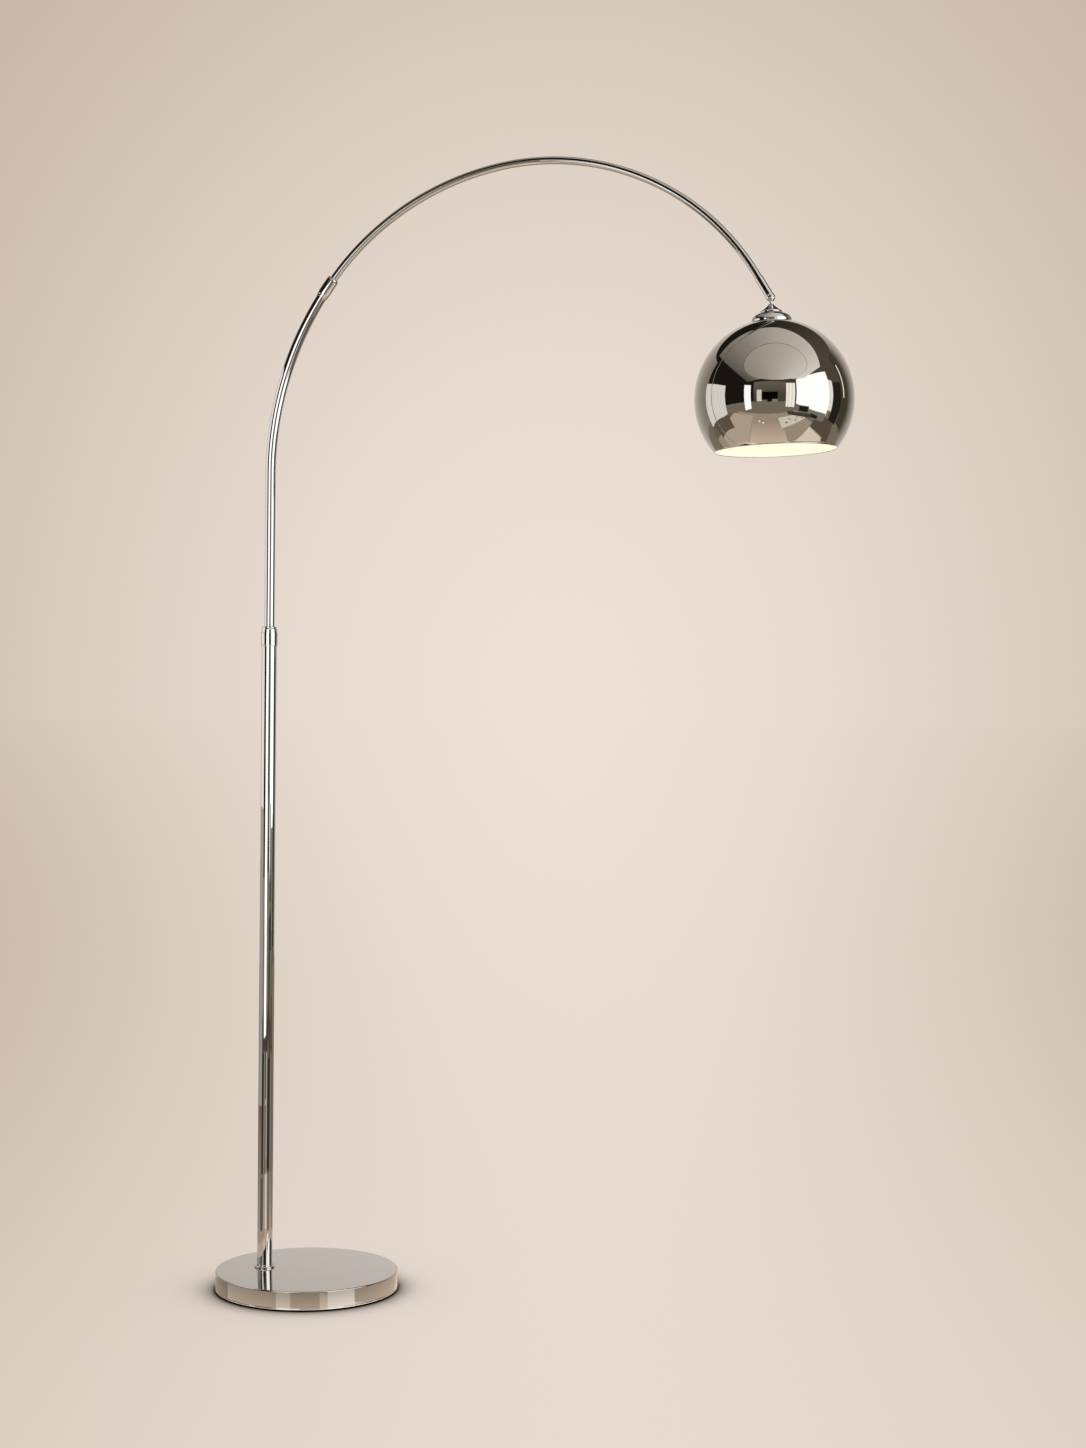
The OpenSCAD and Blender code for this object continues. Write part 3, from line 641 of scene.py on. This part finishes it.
def stage_mesh(name, verts, faces, material):
    """A mesh that is part of the studio, not of the lamp."""
    mesh = bpy.data.meshes.new(name)
    mesh.from_pydata(verts, [], faces)
    mesh.materials.append(material)
    obj = bpy.data.objects.new(name, mesh)
    scene.collection.objects.link(obj)
    return obj


def reflected(name, verts, faces, material):
    """A stage mesh that only reflections see."""
    obj = stage_mesh(name, verts, faces, material)
    obj.visible_camera = obj.visible_diffuse = obj.visible_shadow = obj.visible_transmission = False


def card(name, corners, material):
    """A flat card with any number of corners."""
    reflected(name, corners, [tuple(range(len(corners)))], material)


def wall(name, start, end, z0, z1, material, z2=None, z3=None):
    """An upright card between two floor points; z2 and z3 are for the far end."""
    z2 = z0 if z2 is None else z2
    z3 = z1 if z3 is None else z3
    card(name, [(*start, z0), (*end, z2), (*end, z3), (*start, z1)], material)


def round_wall(name, centre, radius, a0, a1, z0, z1, material, steps=40):
    """A curved upright card; its angles run from -Y towards +X, in degrees."""
    verts = []
    for k in range(steps + 1):
        a = math.radians(a0 + (a1 - a0) * k / steps)
        x, y = centre[0] + radius * math.sin(a), centre[1] - radius * math.cos(a)
        verts += [(x, y, z0), (x, y, z1)]
    reflected(name, verts, [(2 * k, 2 * k + 2, 2 * k + 3, 2 * k + 1) for k in range(steps)], material)


def disc(radius, height, x=0.3, y=0.0, count=96):
    """Corners and face of a level disc."""
    turns = [2 * math.pi * k / count for k in range(count)]
    corners = [(x + radius * math.cos(a), y + radius * math.sin(a), height) for a in turns]
    return corners, [tuple(range(count))]


PAPER = (0.845, 0.75, 0.668)
PAPER_PAINTED_DIM = (0.575, 0.482, 0.405)
# Centre of a painted pool of light, high over the lamp: the floor's emission dims with the direction away
# from it; no lamp hangs there
PAINTED_POOL_CENTRE = (0.575, -0.514, 5.11)


def paper_with_painted_pool(n, way):
    """Colour of the paper in a direction, with a painted pool of light: it dims to both sides and overhead.
    """
    across = (0.986, 0.166, 0)
    edge_share = 0.325  # how far the light has to fall for the paper to have its edge colour
    side = n.add("VectorMath", {0: way, 1: across}, operation="DOT_PRODUCT").outputs["Value"]
    height = n.add("SeparateXYZ", {0: way}).outputs[2]
    above, below = n.math("MAXIMUM", height, 0.0), n.math("MINIMUM", height, 0.0)
    total = 1.0
    for part, weight in ((side, 5.06), (above, 3.2), (below, 0.066)):
        total = n.math("ADD", n.math("MULTIPLY", n.math("MULTIPLY", part, part), weight), total)
    share = n.math("SUBTRACT", 1.0, n.math("DIVIDE", 1.0, total))
    return n.blend(n.remap(share, 0, 1, 0.0, edge_share), PAPER, PAPER_PAINTED_DIM)


class WorldNodes(Nodes):
    """The same short way for the world's tree."""

    def __init__(self, world):
        self.tree = world.node_tree
        self.tree.nodes.clear()
        self.out = self.tree.nodes.new("ShaderNodeOutputWorld")


def make_world():
    """Seamless warm beige paper all round, painted brightest ahead and behind: a painted pool of light that
    dims to the sides and overhead.
    """
    world = bpy.data.worlds.new("studio")
    scene.world = world
    world.use_nodes = True
    n = WorldNodes(world)
    way = n.add("TexCoord").outputs["Generated"]
    glow = n.add("Background", {"Color": paper_with_painted_pool(n, way), "Strength": 1.0})
    n.tree.links.new(glow.outputs[0], n.out.inputs[0])


def make_floor():
    """Pale paper floor that glows by its own emission, with a painted pool of light and painted shade: a thin
    dark line under the base and a soft shadow on its left.
    """
    n = Nodes("floor_paper")
    place = n.add("TexCoord").outputs["Object"]
    reach = n.add("VectorMath", {0: place, 1: PAINTED_POOL_CENTRE}, operation="SUBTRACT").outputs[0]
    way = n.add("VectorMath", {0: reach}, operation="NORMALIZE").outputs[0]
    # Painted shade: ambient occlusion darkens the floor's emission next to what stands on it
    line = n.add("AmbientOcclusion", {"Distance": 0.012}, samples=12).outputs["AO"]
    close = n.add("AmbientOcclusion", {"Distance": 0.05}, samples=12).outputs["AO"]
    # Painted shadow: looks towards the right, so it darkens the floor on the left of what stands there
    wide = n.add("AmbientOcclusion", {"Distance": 0.20, "Normal": (0.94, -0.05, 0.34)},
                 samples=16).outputs["AO"]
    fibre = n.noise(300, detail=4)
    shade = n.math("MULTIPLY", n.remap(line, 0.02, 1.0, 0.42, 0.82), n.remap(close, 0.985, 1.0, 0.5, 1.0))
    shade = n.math("MULTIPLY", shade, n.remap(wide, 0.0, 1.0, 0.46, 0.965))
    shade = n.math("MULTIPLY", shade, n.remap(fibre, 0.992, 1.004))
    paper = n.send(n.add("Emission", {"Color": paper_with_painted_pool(n, way), "Strength": shade}))
    floor = stage_mesh("floor", *disc(80, 0.0), paper)
    floor.visible_glossy = False


def floor_glow(name, colour, low=None, start=0.0, end=1.0):
    """Paper as chrome sees it: its light fades where it is met at a flat angle, and may change along Y."""
    n = Nodes(name)
    facing = n.add("LayerWeight", {"Blend": 0.5}).outputs["Facing"]
    tint = (*colour, 1) if low is None else n.fade(low, colour, 1, start, end)
    return n.send(n.add("Emission", {"Color": tint, "Strength": n.remap(facing, 1.0, 0.10, 0.72, 0.86)}))


def patch(name, corners, material, layer):
    """A flat patch of the mirrored floor; a higher layer covers a lower one."""
    card(name, [(x, y, MM * layer - 0.01) for x, y in corners], material)


def side_light(name, turn0, turn1, colour, layer):
    """Floor light that shows on the base's side between two turns of its edge."""
    edge, reach, lean = 0.149, 0.22, math.radians(-16.7)
    near, far = [], []
    for turn in (math.radians(turn0), math.radians(turn1)):
        foot = Vector((math.sin(turn), -math.cos(turn))) * edge
        near.append(foot)
        far.append(foot + Vector((math.sin(2 * turn + lean), -math.cos(2 * turn + lean))) * reach)
    patch(name, near + far[::-1], floor_glow(name, colour), layer)


def pole_view(name, turn0, turn1, near, far, colour):
    """A wedge of floor round the pole that shows only where it is met at a flat angle."""
    n = Nodes(name)
    facing = n.add("LayerWeight", {"Blend": 0.5}).outputs["Facing"]
    clear, glow = n.add("BsdfTransparent"), n.add("Emission", {"Color": (*colour, 1)})
    wedge = n.mix_out(n.remap(facing, 0, 1, 0.66, 0.74), clear, glow)
    corners = []
    for turn, reach in ((turn0, near), (turn0, far), (turn1, far), (turn1, near)):
        a = math.radians(turn)
        corners.append((POLE_X * MM + reach * math.sin(a), -reach * math.cos(a)))
    patch(name, corners, wedge, 8)


def make_mirrored_floor():
    """The floor as it shows in the chrome: sheets of paper with the room's floor beyond."""
    reflected("floor_room", *disc(9, -0.012), emitter("floor_room", (0.31, 0.265, 0.20)))
    patch("paper_edge", [(-2.45, -2.75), (3.05, -3.0), (3.0, -0.9), (2.45, 1.2), (-1.6, 1.2)],
          floor_glow("paper_edge", (0.60, 0.49, 0.38)), 1)
    patch("paper_left", [(-2.75, -2.2), (-0.55, -2.47), (0.0, -0.34), (-0.1, 0.45), (-1.5, 0.45)],
          floor_glow("paper_left", (0.78, 0.65, 0.52)), 2)
    patch("paper_middle", [(-0.38, -2.3), (1.10, -2.34), (1.30, -1.06), (1.22, 0.2), (0.12, 0.2)],
          floor_glow("paper_middle", (1.05, 0.84, 0.66), (0.60, 0.47, 0.35), -1.9, -0.4), 2)
    patch("paper_right", [(2.57, -0.73), (2.55, 0.50), (2.30, 0.66), (1.40, -0.39)],
          floor_glow("paper_right", (1.25, 1.07, 0.90)), 2)
    patch("dark_right", [(2.62, -0.75), (4.7, -1.2), (4.7, 1.2), (2.35, 1.2), (2.36, 0.70), (2.62, 0.52)],
          emitter("dark_right", (0.17, 0.13, 0.09)), 3)
    patch("dark_left", [(-1.62, 0.5), (-2.9, -2.1), (-4.6, -1.6), (-4.0, 1.4), (-1.7, 1.4)],
          emitter("dark_left", (0.26, 0.20, 0.145)), 3)
    patch("sample_tray", [(1.18, -2.24), (3.04, -2.45), (2.94, -1.57), (1.23, -1.31)],
          floor_glow("sample_tray", (1.15, 1.03, 0.9)), 4)
    mark = emitter("tray_mark", (0.22, 0.18, 0.14))
    for k in range(5):
        x, y = 1.5 + 0.3 * k, -1.72 - 0.26 * (k % 2) - 0.02 * k
        patch("tray_mark_%d" % k, [(x, y), (x + 0.13, y), (x + 0.12, y + 0.13), (x - 0.01, y + 0.1)], mark, 5)
    for k, (x, y) in enumerate(((0.03, -1.93), (0.27, -1.80))):
        patch("lit_bulb_%d" % k, [(x, y), (x + 0.09, y), (x + 0.10, y + 0.09), (x, y + 0.08)],
              emitter("lit_bulb", (2.2, 2.1, 1.9)), 5)
    # Round the base: dimmer to the left, with two lighter streaks
    reflected("floor_by_base", *disc(0.40, -0.0045, 0.0), floor_glow("floor_by_base", (1.05, 0.82, 0.62)))
    side_light("side_dim", -95, -42, (0.60, 0.47, 0.36), 6)
    side_light("side_right", 24, 98, (1.50, 1.21, 0.95), 6)
    side_light("streak_front", -3, 6, (1.55, 1.30, 1.06), 7)
    side_light("streak_right", 29, 47, (2.0, 1.76, 1.52), 7)
    # What only the foot of the pole sees, at a flat angle
    dim, far = (0.05, 0.043, 0.034), 2.6
    wedges = (
        (-50, -20, 0.95, far, dim), (-13, 1, 0.95, far, (0.40, 0.35, 0.29)), (3, 10, 0.95, far, dim),
        (14, 34, 1.1, far, (0.55, 0.49, 0.42)), (36, 76, 1.0, far, dim),
        (76, 110, 1.0, far, (0.30, 0.26, 0.21)),
        (-60, -18, 0.45, 0.95, (0.16, 0.135, 0.11)), (-8, 18, 0.45, 0.95, (0.62, 0.53, 0.43)),
        (20, 35, 0.45, 0.95, (1.25, 1.12, 0.97)), (48, 84, 0.45, 1.0, (0.26, 0.22, 0.17)))
    for k, wedge in enumerate(wedges):
        pole_view("low_%02d" % k, *wedge)


def one_sided(name, colour):
    """A card that glows on its front and can't be seen from behind."""
    n = Nodes(name)
    back = n.add("NewGeometry").outputs["Backfacing"]
    clear, glow = n.add("BsdfTransparent"), n.add("Emission", {"Color": (*colour, 1)})
    return n.mix_out(back, glow, clear)


def curtain(name, light, dark, axis, folds):
    """A bright window behind a hanging curtain with soft upright folds."""
    n = Nodes(name)
    wave = n.add("TexWave", {"Vector": n.coords(), "Scale": folds, "Distortion": 2.0, "Detail": 1.0,
                             "Detail Scale": 0.4},
                 wave_type="BANDS", bands_direction=axis).outputs["Fac"]
    glow = n.add("Emission", {"Color": n.blend(n.remap(wave, 0, 1, 0.0, 0.55), dark, light)})
    return n.send(glow)


def along_x(name, start, end, points):
    """A glow that changes with X between start and end."""
    n = Nodes(name)
    place = n.add("SeparateXYZ", {0: n.coords()}).outputs[0]
    glow = n.add("Emission", {"Color": n.stops(n.remap(place, 0, 1, start, end), points)})
    return n.send(glow)


def make_backdrop():
    """Paper behind the lamp, dimmer towards both sides."""
    glow = along_x("backdrop", -4.7, 5.3, [
        (0.03, (0.37, 0.32, 0.27)), (0.17, (0.56, 0.50, 0.44)), (0.37, (0.74, 0.675, 0.62)),
        (0.59, (0.74, 0.675, 0.62)), (0.77, (0.55, 0.50, 0.45)), (0.82, (0.40, 0.36, 0.31)),
        (0.90, (0.09, 0.075, 0.055))])
    round_wall("backdrop", (0.3, 0), 5.0, 112, 251, -0.1, 5.0, glow)


def sideways(name, bright, dim):
    """A card that glows only where it is met nearly square on."""
    n = Nodes(name)
    facing = n.add("LayerWeight", {"Blend": 0.5}).outputs["Facing"]
    glow = n.add("Emission", {"Color": n.blend(n.remap(facing, 0, 1, 0.025, 0.06), bright, dim)})
    return n.send(glow)


def make_windows():
    """Tall bright windows on both sides."""
    wall("window_left", (-1.45, 0.72), (-1.28, -0.82), 0.60, 2.08,
         curtain("window_left", (1.40, 1.36, 1.34), (0.90, 0.87, 0.84), "Y", 3.2), 0.72, 1.97)
    round_wall("screen_left", (POLE_X * MM, 0), 1.15, -112, -50, 0.10, 0.76,
               sideways("screen_left", (0.52, 0.49, 0.46), (0.20, 0.155, 0.11)))
    wall("window_narrow", (-1.32, -2.65), (0.13, -1.20), 0.26, 2.24,
         curtain("window_narrow", (2.10, 2.12, 2.16), (1.75, 1.76, 1.78), "X", 2.2), 1.02, 1.75)
    near = one_sided("window_narrow_low", (1.85, 1.82, 1.80))
    wall("window_low_a", (-0.07, -0.50), (-0.447, -0.927), 0.345, 1.04, near, 0.27, 1.04)
    wall("window_low_b", (-0.011, -0.345), (-0.07, -0.50), 0.37, 1.04, near, 0.345, 1.04)
    wall("window_right", (4.15, -4.69), (4.76, -0.14), 0.25, 3.62,
         curtain("window_right", (2.15, 2.15, 2.12), (2.0, 2.0, 1.96), "Y", 1.5), 0.1, 3.60)
    wall("window_far_right", (4.76, -0.14), (4.64, 0.36), 0.6, 2.9,
         curtain("window_far_right", (1.6, 1.56, 1.5), (1.15, 1.1, 1.04), "Y", 4.0), 0.6, 2.7)
    wall("bright_line", (4.257, 1.939), (4.169, 2.09), 1.75, 3.7, emitter("bright_line", (1.5, 1.45, 1.38)))


def make_room():
    """Grey room between the windows, with its dark furniture."""
    wall("room_grey", (-2.1, -6.2), (3.2, -6.4), 0.3, 3.55,
         emitter("room_grey", (0.23, 0.20, 0.155), (0.12, 0.10, 0.075), 2, 1.4, 3.3))
    wall("room_black", (-0.55, -5.6), (1.70, -5.7), 0.45, 1.80, emitter("room_black", (0.004, 0.004, 0.003)))
    wall("room_shelf_left", (-0.5, -5.5), (0.25, -5.5), 0.40, 0.72, emitter("room_shelf", (0.30, 0.26, 0.20)))
    wall("room_shelf_right", (0.9, -5.5), (1.68, -5.5), 0.40, 0.80, emitter("room_shelf", (0.42, 0.38, 0.31)))
    wall("room_column", (-1.25, -5.5), (-0.56, -5.6), 0.5, 2.1,
         curtain("room_column", (1.35, 1.29, 1.18), (0.8, 0.75, 0.67), "X", 3.0))
    wall("grey_column", (1.463, -1.872), (1.848, -1.677), 0.86, 2.0,
         curtain("grey_column", (1.7, 1.64, 1.55), (1.3, 1.25, 1.17), "X", 2.0))
    black = emitter("furniture", (0.03, 0.026, 0.02))
    wall("chair_left", (2.73, -2.26), (3.25, -1.68), 0.31, 0.74, black)
    wall("chair_right", (3.05, -1.22), (3.25, -0.72), 0.19, 0.46, black, 0.19, 0.40)
    wall("side_table", (3.22, -1.72), (3.75, -0.16), 0.0, 0.56, emitter("side_table", (0.34, 0.31, 0.27)))
    wall("figure", (4.72, -0.56), (4.75, -0.30), 0.08, 1.60, black)
    wall("door_post", (4.64, 0.37), (4.40, 1.55), -0.1, 2.6, black)
    # Low dark shapes that only the foot of the lamp sees
    wall("curb_right", (1.95, -2.6), (3.6, -1.1), 0.02, 0.30, emitter("curb", (0.10, 0.085, 0.065)))


def make_arm_flag():
    """A black flag just in front of the thin tube, the usual way to put a dark line in thin chrome."""
    gap = 36.0
    # Share of the arm's length, then the angles from level between which the tube sees the flag
    turns = ((0.0, 42, 80), (0.45, 16, 70), (0.70, -18, 42), (1.0, -36, 28))
    in_sight = [(place, way) for place, way in ARM_LINE if place.x > 45]
    verts = []
    for k, (place, way) in enumerate(in_sight):
        share = k / (len(in_sight) - 1)
        a, b = next((a, b) for a, b in zip(turns, turns[1:]) if share <= b[0])
        mix = (share - a[0]) / (b[0] - a[0])
        for from_angle, to_angle in zip(a[1:], b[1:]):
            off = gap * math.tan(math.radians(from_angle + (to_angle - from_angle) * mix))
            verts.append(((place.x - way.z * off) * MM, -gap * MM, (place.z + way.x * off) * MM))
    faces = [(2 * k + 1, 2 * k + 3, 2 * k + 2, 2 * k) for k in range(len(in_sight) - 1)]
    reflected("arm_flag", verts, faces, one_sided("arm_flag", (0.01, 0.009, 0.008)))


def make_ceiling():
    """Pale ceiling, brighter towards the right window, with a disc in it and the disc's thin seam."""
    height = 3.0
    glow = along_x("ceiling", -1.6, 3.2, [
        (0.0, (0.16, 0.14, 0.115)), (0.20, (0.33, 0.29, 0.245)), (0.34, (0.47, 0.425, 0.365)),
        (0.50, (0.76, 0.69, 0.61)), (0.70, (0.96, 0.90, 0.82)), (1.0, (1.28, 1.20, 1.11))])
    outline = ((-1.09, 0.86), (0.2, 0.70), (0.76, 0.61), (1.31, 0.40), (2.0, 0.15),
               (3.02, -0.29), (3.6, -2.6), (2.84, -3.4), (-2.05, -4.10))
    card("ceiling", [(x, y, height) for x, y in outline], glow)
    centre, radius, seam_width = (1.0, -2.3), 1.93, 0.025
    disc_glow = along_x("ceiling_disc", centre[0] - radius, centre[0] + radius, [
        (0.0, (0.48, 0.435, 0.365)), (0.30, (0.62, 0.57, 0.49)), (0.55, (0.80, 0.735, 0.65)),
        (0.85, (1.08, 1.02, 0.95))])
    reflected("ceiling_disc", *disc(radius, height - 0.008, *centre), disc_glow)
    seam = emitter("ceiling_seam", (0.50, 0.45, 0.38), (0.12, 0.10, 0.08), 0, -0.6, 3.0)
    first_turn, turn_step, seam_height = 18, 6, height - 0.01
    for k in range(24):
        a, b = (math.radians(first_turn + turn_step * j) for j in (k, k + 1))
        edges = ((a, radius), (b, radius), (b, radius + seam_width), (a, radius + seam_width))
        corners = [(centre[0] + r * math.cos(t), centre[1] + r * math.sin(t), seam_height) for t, r in edges]
        card("ceiling_seam_%02d" % k, corners, seam)


def make_dark_room():
    """A big dim ball round everything, a little lighter on the right."""
    bm = bmesh.new()
    bmesh.ops.create_icosphere(bm, subdivisions=4, radius=14)
    bm.verts.index_update()
    verts = [tuple(v.co) for v in bm.verts]
    faces = [[v.index for v in f.verts] for f in bm.faces]
    bm.free()
    reflected("room_dark", verts, faces,
              emitter("room_dark", (0.13, 0.105, 0.08), (0.018, 0.015, 0.011), 0, -2.0, 9.0))


def make_key():
    """A very soft key from the right and the front."""
    sun = bpy.data.lights.new("key", "SUN")
    sun.energy = 0.55
    sun.angle = math.radians(50)
    sun.color = (1.0, 0.93, 0.86)
    obj = bpy.data.objects.new("key", sun)
    obj.rotation_euler = (math.radians(32), math.radians(38), 0)
    obj.visible_glossy = False
    scene.collection.objects.link(obj)


make_world()
make_floor()
# What the chrome sees: a dim room with tall soft windows, a ceiling and paper on the floor
make_dark_room()
make_backdrop()
make_windows()
make_room()
make_arm_flag()
make_ceiling()
make_mirrored_floor()
make_key()
scene.view_settings.view_transform = "Standard"
scene.view_settings.look = "None"
